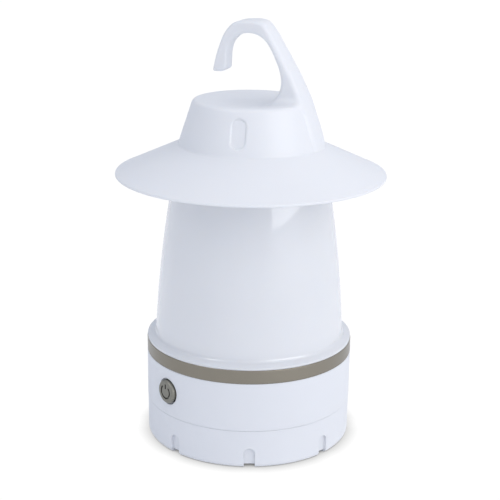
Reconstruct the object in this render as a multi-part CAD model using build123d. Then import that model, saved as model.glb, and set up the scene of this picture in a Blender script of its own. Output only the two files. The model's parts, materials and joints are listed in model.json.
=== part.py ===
from build123d import *
import math
import os

# A battery camping lantern, millimetres and degrees.
# Origin: centre of the underside. +Z up. The hook lies in the XZ plane, its foot on the +X side.
# Azimuths are measured from +X towards +Y.

# ---------------------------------------------------------------- driving dimensions
HOUSING_R = 46.6            # outside of the housing
HOUSING_WALL = 2.2
SHOULDER_Z = 39.3           # top of the housing, where the trim ring sits
DECK_THICK = 1.6
DECK_BORE_R = 35.2
LEDGE_THICK = 2.6           # at the housing's foot, from which the threaded skirt hangs
EDGE_ROUND = 0.3            # the small rounding of the shells' rims
SEAM_ROUND = 0.12           # the same where the cover meets the housing

COVER_R = 46.5              # outside of the battery cover at its top edge
COVER_FOOT_R = 46.4         # outside of the battery cover above its rounded foot
COVER_TOP_Z = 17.3
COVER_WALL = 2.6
COVER_FOOT_ROUND = 1.8
COVER_FLOOR_Z = 0.8         # underside of the floor, inside the standing rim
COVER_FLOOR_THICK = 2.0
STANDING_RIM_R = 38.8       # inside of the rim that the lantern stands on
SEAM_GAP = 0.1              # shadow gap between the cover and the housing
GASKET_THICK = 1.1

RING_R = 46.6               # outside of the trim ring
RING_BORE_R = 43.5
RING_TOP_Z = 45.5

DIFFUSER_WALL = 2.0
DIFFUSER_FOOT = (42.6, 48.9)    # radius and height where the long curve of the wall starts
DIFFUSER_MID = (39.3, 88.0)
DIFFUSER_HEAD = (32.8, 128.0)
DIFFUSER_HEAD_ROUND = 1.6
FLANGE_R = 46.4             # the diffuser's flange over the trim ring
FLANGE_EDGE_Z = 46.4
FLANGE_NECK = (43.64, 47.4)  # where the flange starts to sweep up into the wall
FLANGE_SWEEP = (42.89, 47.99)
SPIGOT_R = 43.4             # the diffuser's foot inside the trim ring
SPIGOT_WALL = 2.0
SPIGOT_TOP_Z = 45.7

BRIM_R = 60.0
BRIM_EDGE_Z = 121.0         # mid-height of the brim's rounded edge
BRIM_THICK = 1.8
CROWN_BASE = (31.8, 134.3)  # radius and height where the crown leaves the brim
CROWN_RIM = (25.1, 153.7)
CROWN_RIM_ROUND = 1.3
CROWN_WALL = 2.0
CAVITY_FLARE = 0.6          # the crown's wall thins by this at the brim
DISH_R = 22.4               # the shallow dish in the crown's top
DISH_DEPTH = 1.8
LOCATOR_GAP = 0.9           # between the diffuser's head and the ring that centres it
LOCATOR_WALL = 1.8
LOCATOR_FOOT_Z = 124.5
LOCATOR_TOP_Z = 131.4
DIMPLE_WIDTH = 6.6
DIMPLE_HEIGHT = 12.5
DIMPLE_DEPTH = 0.7
DIMPLE_Z = 144.3
DIMPLE_AZIMUTHS = (-83.0, 83.0, 180.0)

HOOK_TIP_HALF_WIDTH = 4.3   # across the hook's plane, at its tip
HOOK_FOOT_HALF_WIDTH = 8.2  # the same, at its foot
HOOK_ROUND = 1.4            # rounding of the hook's long edges
# The hook's outline as pairs of points in the XZ plane, outer then inner, from tip to foot.
HOOK_STATIONS = (
    ((-17.2, 165.6), (-10.0, 166.0)),
    ((-15.9, 171.2), (-9.9, 172.0)),
    ((-14.0, 176.9), (-8.9, 177.0)),
    ((-10.8, 182.8), (-6.2, 180.7)),
    ((-5.9, 187.0), (-3.1, 182.3)),
    ((0.4, 188.4), (0.4, 182.8)),
    ((6.3, 186.8), (4.4, 182.0)),
    ((10.4, 182.7), (7.6, 180.0)),
    ((15.4, 174.1), (12.0, 173.6)),
    ((21.0, 164.6), (15.4, 163.4)),
    ((25.0, 157.3), (14.0, 156.6)),
    ((27.7, 150.2), (11.0, 151.0)),
    ((29.7, 144.0), (14.5, 145.6)),
    ((31.3, 138.8), (19.0, 139.9)),
    ((32.8, 133.1), (24.0, 134.2)),
)

BUTTON_AZ = -121.8
BUTTON_Z = 28.6
BUTTON_R = 5.35
BUTTON_PROUD = 47.9         # distance of the button's face from the lamp's axis
BUTTON_SHOULDER = 1.0       # rounding between the button's face and its side
BUTTON_FLANGE_R = 7.1       # keeps the button in the housing
BUTTON_FLANGE_FROM = 42.4   # distances from the lamp's axis
BUTTON_FLANGE_TO = 43.5
BUTTON_STEM_R = 1.9
BUTTON_STEM_END = 41.0
BUTTON_BEZEL = 0.65        # the sunk ring round the button, in the housing's face
BUTTON_BEZEL_FLOOR = 0.9    # what is left of the housing's wall under that ring
MARK_R = 3.3                # the power mark: a broken ring with an upright bar
MARK_LINE = 0.75
MARK_DEPTH = 0.5
MARK_GAP_ANGLE = 80.0
MARK_BAR_LENGTH = 2.2
MARK_BAR_Z = 2.5
RUNNING_GAP = 0.05          # radial clearance of everything that slides or turns in a hole

NOTCH_COUNT = 8
NOTCH_FIRST_AZ = 19.0
NOTCH_WIDTH = 4.8
NOTCH_TOP_Z = 9.1
NOTCH_DEPTH = 1.3
NOTCH_FOOT_DEPTH = 5.0      # at its foot each notch runs in under the cover
NOTCH_FOOT_HEIGHT = 1.5

THREAD_LEAD = 12.0          # the cover drops this far in one full turn
THREAD_STARTS = 3
THREAD_THICK = 1.5
THREAD_PLAY = 0.2           # between the housing's ribs and the cover's lugs
RIB_SPAN = 80.0             # degrees
RIB_MID_Z = 10.6
RIB_HEIGHT = 1.0
LUG_SPAN = 30.0             # degrees
LUG_HEIGHT = 1.1
THREAD_ROOT = 0.5           # how deep the ribs and lugs run into their walls
SKIRT_R = 42.6              # outside of the threaded skirt inside the cover
SKIRT_WALL = 1.7
SKIRT_FOOT_Z = 7.0

CELL_COUNT = 4
CELL_R = 13.1               # C-size cell
CELL_LENGTH = 50.0
CELL_NUB_R = 3.75
CELL_NUB = 1.7
CELL_ROUND = 0.8
CELL_ORBIT = 19.8           # distance of each cell's axis from the lamp's axis
CELL_FOOT_Z = 10.2
BAY_R = 13.45
BAY_WALL = 1.35
BAY_FOOT_Z = 8.4
CEILING_THICK = 1.5
CONTACT_ROOM = 3.8          # above the cells, for the contacts
COMPARTMENT_FLANGE_R = 40.6
COMPARTMENT_FLANGE_THICK = 2.2
PIVOT_WELL_R = 6.2          # the recess in the compartment over the pivot screw's head
PIVOT_WELL_TOP_Z = 13.0

CONTACT_THICK = 0.4
BRIDGE_WIDTH = 9.0
BRIDGE_SLOT_PLAY = 0.6
CONTACT_PAD_R = 3.2
TERMINAL_R = 5.0
CONTACT_SPRING = {"radius": 3.6, "wire_radius": 0.35, "turns": 2.5}
BUTTON_SPRING = {"radius": 2.9, "wire_radius": 0.22, "turns": 3.5}

CARRIER_Z = 4.6
CARRIER_THICK = 2.0
CARRIER_R = 33.0
GUIDE_AZIMUTHS = (BUTTON_AZ + 90, BUTTON_AZ - 90)
BLADE_FROM = 24.9           # the carrier's two guide blades, distances from the lamp's axis
BLADE_TO = 30.1
BLADE_THICK = 3.0
BLADE_TOP_Z = 24.0
BLADE_PLAY = 0.1            # on each side of a blade in its slot
GUIDE_BLOCK = (9.4, 10.0, 13.6)
GUIDE_BLOCK_ORBIT = 26.5

PIVOT_R = 3.0
PIVOT_SHANK_R = 1.35
PIVOT_SHANK_FOOT_Z = 1.6
PIVOT_HEAD_R = 5.0
PIVOT_HEAD_THICK = 1.4
PIVOT_SLOT = 1.0
PIVOT_BOSS_R = 5.0
PIVOT_PILOT_FOOT_Z = 1.3
WASHER_THICK = 0.55
WASHER_PLAY = 0.1
BOSS_PLAY = 0.2             # between the cover's boss and the carrier

TRAY_FLOOR_THICK = 1.2
TRAY_FLOOR_R = 34.0
TRAY_RIM_R = 37.6
TRAY_RIM_HEIGHT = 5.0
TRAY_RIM_THICK = 0.6
LED_BOARD_R = 22.0
BOARD_THICK = 1.6
LED_COUNT = 6
LED_ORBIT = 11.5
LED_SIZE = 3.5
LED_BASE_HEIGHT = 0.9
LED_LENS_R = 1.4
LED_LENS_TOP = 1.5

SWITCH_BOARD_FROM = 33.4    # distances from the lamp's axis along the button's axis
SWITCH_BOARD_TO = 34.6
SWITCH_TOP = 38.8
SWITCH_SIZE = 8.0
PLUNGER_R = 1.8
PLUNGER_FOOT = 36.4
SWITCH_BOARD_SIZE = (29.0, 12.0)
SWITCH_SCREW_SIDE = 11.0    # sideways from the button's axis
SWITCH_PILLAR_R = 2.6
SWITCH_PILLAR_FROM = 27.0
SWITCH_PILOT_FROM = 29.5
RESISTOR_SIZE = (2.4, 6.4, 1.6)
RESISTOR_SIDE = 6.6

# screws: head radius, head height, shank radius, shank length
HAT_SCREW = (3.0, 1.8, 1.25, 12.0)
CHASSIS_SCREW = (2.7, 1.6, 1.15, 10.0)
BOARD_SCREW = (2.0, 1.2, 0.9, 4.0)
PILOT_GAP = 0.05            # a screw's shank in the plastic that it is driven into
SCREW_PLAY = 0.4            # a screw's shank in the piece that it clamps
HAT_SCREW_ORBIT = 20.0
HAT_SCREW_AZIMUTHS = (60, 180, 300)
HAT_BOSS_R = 3.5
HAT_BOSS_TOP_Z = 151.0
HAT_PILOT_TOP_Z = 141.0
CHASSIS_SCREW_ORBIT = 38.2
CHASSIS_BOSS_R = 2.9
CHASSIS_BOSS_HEIGHT = 8.4
CHASSIS_PILOT_DEPTH = 6.9
CHASSIS_WEB = (3.4, 2.4, 6.0)
CHASSIS_WEB_ORBIT = 40.2
BOARD_SCREW_ORBIT = 18.0
BOARD_PILOT_FLOOR = 0.2     # plastic left under the board screws' pilot holes

LEAD_R = 0.6
LEAD_BEND = 1.0             # inner bends of the cables
LIGHT_LEAD_X = 24.8         # where the cables pass up through the tray
LIGHT_LEAD_Y = 1.6
LIGHT_LEAD_END_X = 20.5     # where they meet the lamp board
LIGHT_LEAD_RISE = 1.6
LIGHT_LEAD_HOLE_R = 1.1
BOARD_PAD_Z = 33.3          # where the cables meet the switch board
BATTERY_LEAD_HOLE_R = 0.8
TERMINAL_LEAD_START = 4.0   # distances from an end cell's axis towards the button
TERMINAL_LEAD_HOLE = 10.0
TERMINAL_LEAD_DROP = 15.6
RIM_NOTCH = (8.0, 19.0, 4.0)
RIM_NOTCH_ORBIT = 41.2
LEAD_CHANNEL = (11.0, 11.0, 4.0)
LEAD_CHANNEL_ORBIT = 28.5

# ---------------------------------------------------------------- sizes worked out from them
HOUSING_FOOT_Z = COVER_TOP_Z + SEAM_GAP
HOUSING_BORE_R = HOUSING_R - HOUSING_WALL
DECK_Z = SHOULDER_Z - DECK_THICK
SKIRT_BORE_R = SKIRT_R - SKIRT_WALL
COVER_BORE_R = COVER_R - COVER_WALL
COVER_FLOOR_TOP_Z = COVER_FLOOR_Z + COVER_FLOOR_THICK
LUG_MID_Z = RIB_MID_Z + THREAD_THICK + THREAD_PLAY
SPIGOT_BORE_R = SPIGOT_R - SPIGOT_WALL
COMPARTMENT_FLANGE_Z = DECK_Z - COMPARTMENT_FLANGE_THICK
CELL_TOP_Z = CELL_FOOT_Z + CELL_LENGTH
CEILING_Z = CELL_TOP_Z + CONTACT_ROOM
TOWER_TOP_Z = CEILING_Z + CEILING_THICK
UPPER_CONTACTS_Z = CEILING_Z - CONTACT_THICK
CARRIER_TOP_Z = CARRIER_Z + CARRIER_THICK
PIVOT_BOSS_TOP_Z = CARRIER_Z - BOSS_PLAY
PIVOT_HEAD_Z = CARRIER_TOP_Z + WASHER_THICK + 1.5 * WASHER_PLAY
TRAY_TOP_Z = TOWER_TOP_Z + TRAY_FLOOR_THICK
LED_BOARD_TOP_Z = TRAY_TOP_Z + BOARD_THICK
TERMINAL_LEAD_Z = UPPER_CONTACTS_Z - LEAD_R
CELL_REACH = CELL_ORBIT * math.cos(math.radians(45))    # from the lamp's axis to a side of the cells' square
CAVITY_MOUTH = (CROWN_BASE[0] - CROWN_WALL + CAVITY_FLARE, CROWN_BASE[1] - BRIM_THICK)
CAVITY_CEILING = (CROWN_RIM[0] - CROWN_WALL, CROWN_RIM[1] - DISH_DEPTH - CROWN_WALL)
BOTTOM = (Align.CENTER, Align.CENTER, Align.MIN)


# ---------------------------------------------------------------- helpers
def disc(radius, z_low, z_high):
    """A round plate about the lamp's axis."""
    return Pos(0, 0, z_low) * Cylinder(radius, z_high - z_low, align=BOTTOM)


def ring(inner_radius, outer_radius, z_low, z_high):
    """A plain ring about the lamp's axis."""
    return disc(outer_radius, z_low, z_high) - disc(inner_radius, z_low - 1, z_high + 1)


def post(radius, orbit, azimuth, z_low, z_high):
    """An upright cylinder at a polar position."""
    return Rot(0, 0, azimuth) * Pos(orbit, 0, 0) * disc(radius, z_low, z_high)


def rod(radius, start, end, sideways=0.0):
    """A cylinder along the button's axis, before it is turned to the button's azimuth."""
    seat = Plane(origin=(start, sideways, BUTTON_Z), x_dir=(0, 1, 0), z_dir=(1, 0, 0))
    return seat * Cylinder(radius, end - start, align=BOTTOM)


def facing_block(start, end, width, height):
    """A block on the button's axis, before it is turned to the button's azimuth."""
    seat = Plane(origin=(start, 0, BUTTON_Z), x_dir=(0, 1, 0), z_dir=(1, 0, 0))
    return seat * Box(width, height, end - start, align=BOTTOM)


def at_button(shape):
    return Rot(0, 0, BUTTON_AZ) * shape


def turned(outline):
    """The solid that a closed outline in the XZ plane sweeps about the lamp's axis."""
    return revolve(make_face(outline), Axis.Z)


def circles(shape, radius, z_low=-1.0, z_high=200.0):
    """The round edges of one radius between two heights."""
    found = shape.edges().filter_by(GeomType.CIRCLE)
    return found.filter_by(lambda e: abs(e.radius - radius) < 0.01 and z_low < e.center().Z < z_high)


def around(shape, count, first_azimuth):
    """Copies of a shape spaced evenly about the lamp's axis."""
    return [Rot(0, 0, first_azimuth + 360 / count * i) * shape for i in range(count)]


def joined(shapes):
    """Separate solids kept together as one group."""
    return Compound(children=[solid for shape in shapes for solid in shape.solids()])


def cross_screw(head_radius, head_height, shank_radius, shank_length):
    """A cross-recess screw, its head's underside at the origin and its shank along -Z."""
    head = disc(head_radius, 0, head_height)
    head = fillet(head.edges().group_by(Axis.Z)[-1], head_height * 0.45)
    shank = Pos(0, 0, -shank_length) * Cylinder(shank_radius, shank_length, align=BOTTOM)
    shank = chamfer(shank.edges().group_by(Axis.Z)[0], shank_radius * 0.5)
    recess = Pos(0, 0, head_height) * Box(head_radius * 1.1, head_radius * 0.28, head_height)
    return head + shank - recess - Rot(0, 0, 90) * recess


def pilot_radius(screw):
    return screw[2] + PILOT_GAP


def clearance_radius(screw):
    return screw[2] + SCREW_PLAY


def coil(z_low, z_high, radius, wire_radius, turns):
    """A compression spring about the Z axis."""
    height = z_high - z_low - 2 * wire_radius
    path = Helix(pitch=height / turns, height=height, radius=radius)
    section = Plane(origin=path @ 0, z_dir=path % 0) * Circle(wire_radius)
    return Pos(0, 0, z_low + wire_radius) * sweep(section, path=path, is_frenet=True)


def cable(points):
    """A round cable along straight runs with rounded bends."""
    path = FilletPolyline(*points, radius=LEAD_BEND)
    return sweep(Plane(origin=path @ 0, z_dir=path % 0) * Circle(LEAD_R), path=path)


def helical_block(inner_radius, outer_radius, mid_z, mid_azimuth, span):
    """A length of right-hand screw thread, square in section."""
    rise = THREAD_LEAD * span / 360
    path = Helix(pitch=THREAD_LEAD, height=rise, radius=(inner_radius + outer_radius) / 2)
    section_plane = Plane(origin=path @ 0, x_dir=(1, 0, 0), z_dir=path % 0)
    section = section_plane * Rectangle(outer_radius - inner_radius + 1, THREAD_THICK)
    block = sweep(section, path=path, is_frenet=True)
    block = Rot(0, 0, mid_azimuth - span / 2) * Pos(0, 0, mid_z - rise / 2) * block
    return block & ring(inner_radius, outer_radius, mid_z - rise, mid_z + rise + THREAD_THICK)


def thread_azimuths():
    return [360 / THREAD_STARTS * i for i in range(THREAD_STARTS)]


def cell_azimuth(index):
    """The cells stand in a square, with the power button facing the gap between two."""
    return BUTTON_AZ + 45 + 90 * index


def chassis_azimuths():
    return [BUTTON_AZ + 60 + 120 * i for i in range(3)]


def board_screw_azimuths():
    return [BUTTON_AZ + 30 + 120 * i for i in range(3)]


# ---------------------------------------------------------------- the hat: brim, crown and hook
def hat_shell():
    """The brim and crown in one moulding, turned about the lamp's axis."""
    edge_r = BRIM_R - BRIM_THICK / 2
    brim_top_z = BRIM_EDGE_Z + BRIM_THICK / 2
    brim_foot_z = BRIM_EDGE_Z - BRIM_THICK / 2
    dish_floor = (0, CROWN_RIM[1] - DISH_DEPTH)
    dish_middle = (DISH_R / 2, dish_floor[1] + DISH_DEPTH / 4)
    dish_edge = (DISH_R, CROWN_RIM[1])
    cavity_top = (0, CAVITY_CEILING[1])
    outline = [
        ThreePointArc(dish_floor, dish_middle, dish_edge),
        Line(dish_edge, CROWN_RIM),
        Line(CROWN_RIM, CROWN_BASE),
        Line(CROWN_BASE, (edge_r, brim_top_z)),
        ThreePointArc((edge_r, brim_top_z), (BRIM_R, BRIM_EDGE_Z), (edge_r, brim_foot_z)),
        Line((edge_r, brim_foot_z), CAVITY_MOUTH),
        Line(CAVITY_MOUTH, CAVITY_CEILING),
        Line(CAVITY_CEILING, cavity_top),
        Line(cavity_top, dish_floor),
    ]
    shell = turned([Plane.XZ * edge for edge in outline])
    return fillet(circles(shell, CROWN_RIM[0]), CROWN_RIM_ROUND)


def hat_cavity():
    """The hollow inside the crown, open downwards."""
    outline = Polyline((0, LOCATOR_FOOT_Z), (CAVITY_MOUTH[0], LOCATOR_FOOT_Z), CAVITY_MOUTH,
                       CAVITY_CEILING, (0, CAVITY_CEILING[1]), close=True)
    return turned([Plane.XZ * outline])


def dimple_cutter(azimuth):
    """A shallow long-round recess pressed into the crown's sloping side."""
    lean = math.atan2(CROWN_BASE[0] - CROWN_RIM[0], CROWN_RIM[1] - CROWN_BASE[1])
    side_r = CROWN_BASE[0] - (DIMPLE_Z - CROWN_BASE[1]) * math.tan(lean)
    seat = Plane(origin=(side_r - DIMPLE_DEPTH, 0, DIMPLE_Z), x_dir=(0, 1, 0), z_dir=(1, 0, 0))
    cutter = seat * extrude(SlotOverall(DIMPLE_HEIGHT, DIMPLE_WIDTH, rotation=90), 4)
    cutter = cutter.rotate(Axis((side_r, 0, DIMPLE_Z), (0, 1, 0)), -math.degrees(lean))
    return Rot(0, 0, azimuth) * cutter


def hook_section(outer, inner):
    """A rounded rectangle that spans the strap from its outer to its inner side."""
    span = Vector(inner[0] - outer[0], 0, inner[1] - outer[1])
    centre = Vector((outer[0] + inner[0]) / 2, 0, (outer[1] + inner[1]) / 2)
    tip_x = HOOK_STATIONS[0][0][0]
    foot_x = HOOK_STATIONS[-1][0][0]
    along = (outer[0] - tip_x) / (foot_x - tip_x)
    half_width = HOOK_TIP_HALF_WIDTH + along * (HOOK_FOOT_HALF_WIDTH - HOOK_TIP_HALF_WIDTH)
    plane = Plane(origin=centre, x_dir=span, z_dir=span.cross(Vector(0, 1, 0)))
    return plane * RectangleRounded(span.length, 2 * half_width, HOOK_ROUND)


def hook():
    """An open loop of tapering strap, broadest and thickest at its foot."""
    return loft([hook_section(outer, inner) for outer, inner in HOOK_STATIONS])


def shade_hat():
    hat = hat_shell()
    for azimuth in DIMPLE_AZIMUTHS:
        hat -= dimple_cutter(azimuth)
    hat += hook() - hat_cavity()
    locator_r = DIFFUSER_HEAD[0] + LOCATOR_GAP
    hat += ring(locator_r, locator_r + LOCATOR_WALL, LOCATOR_FOOT_Z, LOCATOR_TOP_Z)
    head_z = DIFFUSER_HEAD[1]
    for azimuth in HAT_SCREW_AZIMUTHS:
        hat += post(HAT_BOSS_R, HAT_SCREW_ORBIT, azimuth, head_z, HAT_BOSS_TOP_Z)
        hat -= post(pilot_radius(HAT_SCREW), HAT_SCREW_ORBIT, azimuth, head_z - 1, HAT_PILOT_TOP_Z)
    return hat


def hat_screws():
    """Driven upwards through the diffuser's closed head into the hat's bosses."""
    seat_z = DIFFUSER_HEAD[1] - DIFFUSER_WALL
    placed = Pos(HAT_SCREW_ORBIT, 0, seat_z) * Rot(180, 0, 0) * cross_screw(*HAT_SCREW)
    return joined(around(placed, 3, HAT_SCREW_AZIMUTHS[0]))


# ---------------------------------------------------------------- the diffuser and trim ring
def diffuser_wall(inset):
    """The long curved side of the diffuser, moved inwards by inset."""
    foot = (DIFFUSER_FOOT[0] - inset, DIFFUSER_FOOT[1])
    middle = (DIFFUSER_MID[0] - inset, DIFFUSER_MID[1])
    head = (DIFFUSER_HEAD[0] - inset, DIFFUSER_HEAD[1] - inset)
    return ThreePointArc(foot, middle, head)


def diffuser():
    """A milky cup, closed at its narrow head, with a flange and a spigot at its wide foot."""
    outside = diffuser_wall(0)
    inside = diffuser_wall(DIFFUSER_WALL)
    head_inner = inside @ 1
    under_head = (0, DIFFUSER_HEAD[1] - DIFFUSER_WALL)
    outline = [
        Line((SPIGOT_BORE_R, SHOULDER_Z), (SPIGOT_R, SHOULDER_Z)),
        Line((SPIGOT_R, SHOULDER_Z), (SPIGOT_R, RING_TOP_Z)),
        Line((SPIGOT_R, RING_TOP_Z), (FLANGE_R, RING_TOP_Z)),
        Line((FLANGE_R, RING_TOP_Z), (FLANGE_R, FLANGE_EDGE_Z)),
        Line((FLANGE_R, FLANGE_EDGE_Z), FLANGE_NECK),
        ThreePointArc(FLANGE_NECK, FLANGE_SWEEP, DIFFUSER_FOOT),
        outside,
        Line(DIFFUSER_HEAD, (0, DIFFUSER_HEAD[1])),
        Line((0, DIFFUSER_HEAD[1]), under_head),
        Line(under_head, (head_inner.X, head_inner.Y)),
        inside,
        Line((DIFFUSER_FOOT[0] - DIFFUSER_WALL, DIFFUSER_FOOT[1]), (SPIGOT_BORE_R, SPIGOT_TOP_Z)),
        Line((SPIGOT_BORE_R, SPIGOT_TOP_Z), (SPIGOT_BORE_R, SHOULDER_Z)),
    ]
    body = turned([Plane.XZ * edge for edge in outline])
    body = fillet(circles(body, DIFFUSER_HEAD[0], DIFFUSER_MID[1]), DIFFUSER_HEAD_ROUND)
    boss_top = SHOULDER_Z + CHASSIS_BOSS_HEIGHT
    pilot_top = SHOULDER_Z + CHASSIS_PILOT_DEPTH
    web = Pos(CHASSIS_WEB_ORBIT, 0, SHOULDER_Z) * Box(*CHASSIS_WEB, align=BOTTOM)
    for azimuth in chassis_azimuths():
        body += post(CHASSIS_BOSS_R, CHASSIS_SCREW_ORBIT, azimuth, SHOULDER_Z, boss_top)
        body += Rot(0, 0, azimuth) * web
        body -= post(pilot_radius(CHASSIS_SCREW), CHASSIS_SCREW_ORBIT, azimuth, SHOULDER_Z - 1, pilot_top)
    for azimuth in HAT_SCREW_AZIMUTHS:
        body -= post(clearance_radius(HAT_SCREW), HAT_SCREW_ORBIT, azimuth,
                     under_head[1] - 1, DIFFUSER_HEAD[1] + 1)
    return body


def trim_ring():
    band = ring(RING_BORE_R, RING_R, SHOULDER_Z, RING_TOP_Z)
    return fillet(circles(band, RING_R), EDGE_ROUND)


# ---------------------------------------------------------------- the housing
def housing():
    """The base's shell, with a deck at its top and the cover's threaded skirt at its foot."""
    body = ring(HOUSING_BORE_R, HOUSING_R, HOUSING_FOOT_Z, SHOULDER_Z)
    body = fillet(circles(body, HOUSING_R, 0, HOUSING_FOOT_Z + 1), SEAM_ROUND)
    inside_wall_r = HOUSING_R - HOUSING_WALL / 2
    body += ring(DECK_BORE_R, inside_wall_r, DECK_Z, SHOULDER_Z)
    body += ring(SKIRT_BORE_R, inside_wall_r, HOUSING_FOOT_Z, HOUSING_FOOT_Z + LEDGE_THICK)
    body += ring(SKIRT_BORE_R, SKIRT_R, SKIRT_FOOT_Z, HOUSING_FOOT_Z)
    for azimuth in thread_azimuths():
        body += helical_block(SKIRT_R - THREAD_ROOT, SKIRT_R + RIB_HEIGHT, RIB_MID_Z, azimuth, RIB_SPAN)
    for azimuth in chassis_azimuths():
        body -= post(clearance_radius(CHASSIS_SCREW), CHASSIS_SCREW_ORBIT, azimuth,
                     DECK_Z - 1, SHOULDER_Z + 1)
    body -= at_button(rod(BUTTON_R + RUNNING_GAP, BUTTON_FLANGE_TO - 1, HOUSING_R + 1))
    bezel_floor = HOUSING_BORE_R + BUTTON_BEZEL_FLOOR
    body -= at_button(rod(BUTTON_R + BUTTON_BEZEL, bezel_floor, HOUSING_R + 1))
    return body


def chassis_screws():
    """They clamp the compartment's flange and the housing's deck up to the diffuser."""
    placed = Pos(CHASSIS_SCREW_ORBIT, 0, COMPARTMENT_FLANGE_Z) * Rot(180, 0, 0) * cross_screw(*CHASSIS_SCREW)
    return joined(around(placed, 3, chassis_azimuths()[0]))


# ---------------------------------------------------------------- the battery cover
def grip_notch():
    """A round-topped notch that cuts into the cover's side from below, and in under its rim."""
    half = NOTCH_WIDTH / 2
    shoulder_z = NOTCH_TOP_Z - half
    seat = Plane(origin=(COVER_R - NOTCH_DEPTH, 0, 0), x_dir=(0, 1, 0), z_dir=(1, 0, 0))
    head = Pos(0, shoulder_z) * Circle(half)
    slot = Pos(0, shoulder_z / 2 - 1) * Rectangle(NOTCH_WIDTH, shoulder_z + 2)
    foot = Pos(COVER_R, 0, 0) * Box(2 * NOTCH_FOOT_DEPTH, NOTCH_WIDTH, 2 * NOTCH_FOOT_HEIGHT)
    return seat * extrude(head + slot, NOTCH_DEPTH + 1) + foot


def battery_cover():
    """A screw-on cap with a standing rim, grip notches outside and three lugs inside."""
    outline = Polyline(
        (0, COVER_FLOOR_Z), (STANDING_RIM_R - COVER_FLOOR_Z, COVER_FLOOR_Z), (STANDING_RIM_R, 0),
        (COVER_FOOT_R, 0), (COVER_R, COVER_TOP_Z), (COVER_BORE_R, COVER_TOP_Z),
        (COVER_BORE_R, COVER_FLOOR_TOP_Z), (0, COVER_FLOOR_TOP_Z), close=True)
    body = turned([Plane.XZ * outline])
    body = fillet(circles(body, COVER_FOOT_R), COVER_FOOT_ROUND)
    body = fillet(circles(body, COVER_R), SEAM_ROUND)
    for notch in around(grip_notch(), NOTCH_COUNT, NOTCH_FIRST_AZ):
        body -= notch
    for azimuth in thread_azimuths():
        body += helical_block(COVER_BORE_R - LUG_HEIGHT, COVER_BORE_R + THREAD_ROOT,
                              LUG_MID_Z, azimuth, LUG_SPAN)
    body += disc(PIVOT_BOSS_R, COVER_FLOOR_TOP_Z, PIVOT_BOSS_TOP_Z)
    body -= disc(PIVOT_SHANK_R + PILOT_GAP, PIVOT_PILOT_FOOT_Z, PIVOT_BOSS_TOP_Z + 1)
    return body


def cover_gasket():
    """A soft ring round the root of the skirt, which the cover closes against."""
    return ring(SKIRT_R, COVER_BORE_R - 0.1, HOUSING_FOOT_Z - GASKET_THICK, HOUSING_FOOT_Z)


# ---------------------------------------------------------------- the contact carrier
def guide_blade(play, z_low, z_high):
    """One of the carrier's blades, or with some play its slot in the compartment."""
    length = BLADE_TO - BLADE_FROM + 2 * play
    middle = (BLADE_FROM + BLADE_TO) / 2
    return Pos(middle, 0, z_low) * Box(length, BLADE_THICK + 2 * play, z_high - z_low, align=BOTTOM)


def contact_carrier():
    """A disc that follows the cover up and down, kept from turning by its two blades."""
    plate = disc(CARRIER_R, CARRIER_Z, CARRIER_TOP_Z)
    plate -= disc(PIVOT_R + RUNNING_GAP, CARRIER_Z - 1, CARRIER_TOP_Z + 1)
    for azimuth in GUIDE_AZIMUTHS:
        plate += Rot(0, 0, azimuth) * guide_blade(0, CARRIER_TOP_Z, BLADE_TOP_Z)
    return plate


def pivot_screw():
    """A shouldered screw that holds the carrier to the cover and lets the cover turn."""
    head_top = PIVOT_HEAD_Z + PIVOT_HEAD_THICK
    head = disc(PIVOT_HEAD_R, PIVOT_HEAD_Z, head_top)
    shoulder = disc(PIVOT_R, PIVOT_BOSS_TOP_Z, PIVOT_HEAD_Z)
    shank = disc(PIVOT_SHANK_R, PIVOT_SHANK_FOOT_Z, PIVOT_BOSS_TOP_Z)
    slot = Pos(0, 0, head_top) * Box(2 * PIVOT_HEAD_R + 1, PIVOT_SLOT, PIVOT_HEAD_THICK * 0.7)
    return head + shoulder + shank - slot


def pivot_washer():
    foot_z = CARRIER_TOP_Z + WASHER_PLAY
    return ring(PIVOT_R + WASHER_PLAY, PIVOT_HEAD_R, foot_z, foot_z + WASHER_THICK)


# ---------------------------------------------------------------- the battery compartment
def bridge_plate(first_cell, z_low, width):
    """A flat strip that joins the ends of two neighbouring cells."""
    strip = extrude(SlotCenterToCenter(2 * CELL_REACH, width, rotation=90), CONTACT_THICK)
    return Rot(0, 0, cell_azimuth(first_cell) + 45) * Pos(CELL_REACH, 0, z_low) * strip


def lead_notches():
    """Room for the switch board and its cables at the compartment's rim, and the cables' two holes."""
    foot_z = COMPARTMENT_FLANGE_Z - 0.8
    rim = Pos(RIM_NOTCH_ORBIT, 0, foot_z) * Box(*RIM_NOTCH, align=BOTTOM)
    channel = Pos(LEAD_CHANNEL_ORBIT, 0, foot_z) * Box(*LEAD_CHANNEL, align=BOTTOM)
    return [at_button(shape) for shape in (rim, channel, battery_lead_hole(1), battery_lead_hole(-1))]


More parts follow.
